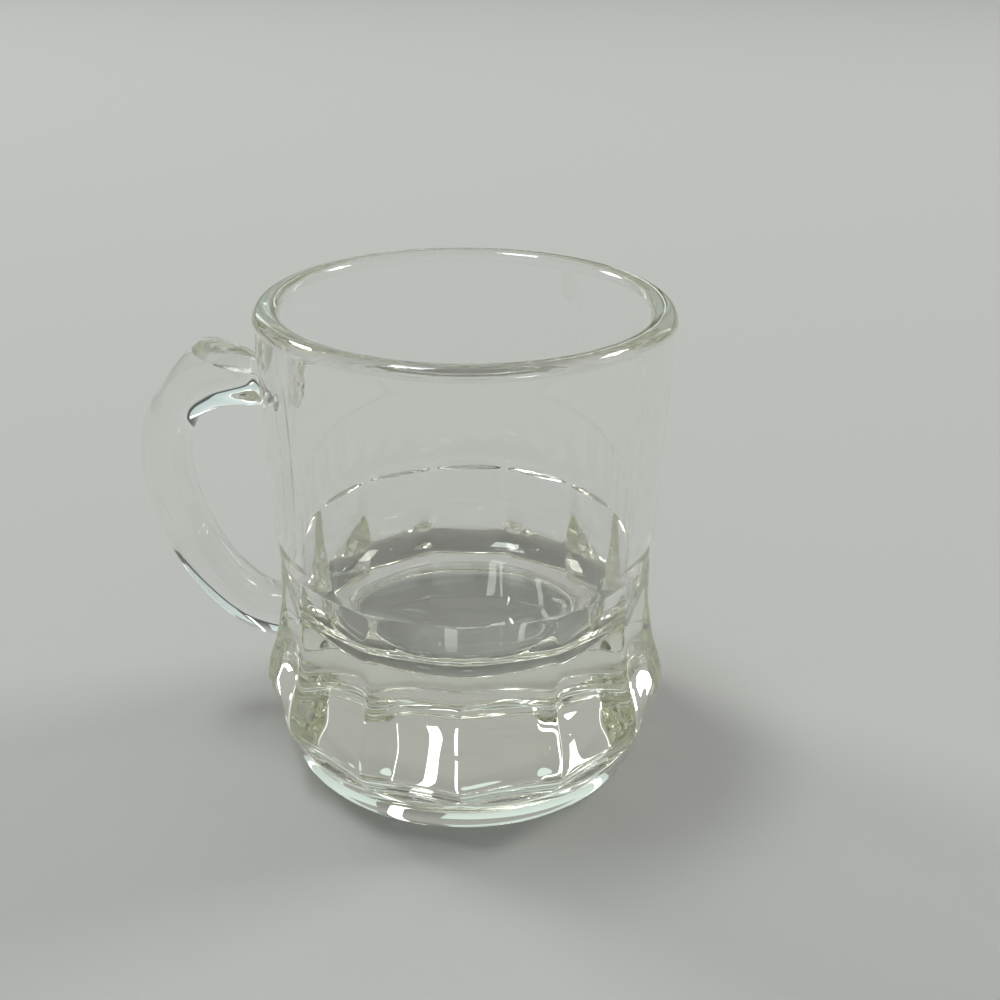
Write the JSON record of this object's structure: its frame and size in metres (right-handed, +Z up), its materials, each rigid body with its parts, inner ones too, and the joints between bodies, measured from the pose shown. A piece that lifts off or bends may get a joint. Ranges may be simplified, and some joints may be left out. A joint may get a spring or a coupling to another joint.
{
  "type": "miniature beer mug shot glass",
  "caption": "Small clear pressed-glass beer mug for shots: round cup with a rounded lip, thick flared base with flat panels, and a C-shaped handle with a thumb rest.",
  "frame": {"origin": "on the cup's axis, at the flat underside of the foot", "axes": "+Z up along the cup's axis, -X towards the handle, and the XZ plane is the mirror plane"},
  "size_m": [0.0574, 0.044, 0.0503],
  "materials": {
    "body_glass": "clear pressed soda-lime glass, fire polished, faint olive tint in the thick base",
    "handle_glass": "clear pressed soda-lime glass, fire polished, the same melt as the body"
  },
  "bodies": {
    "root": {"mug_body": "body_glass", "handle": "handle_glass"}
  },
  "joints": []
}
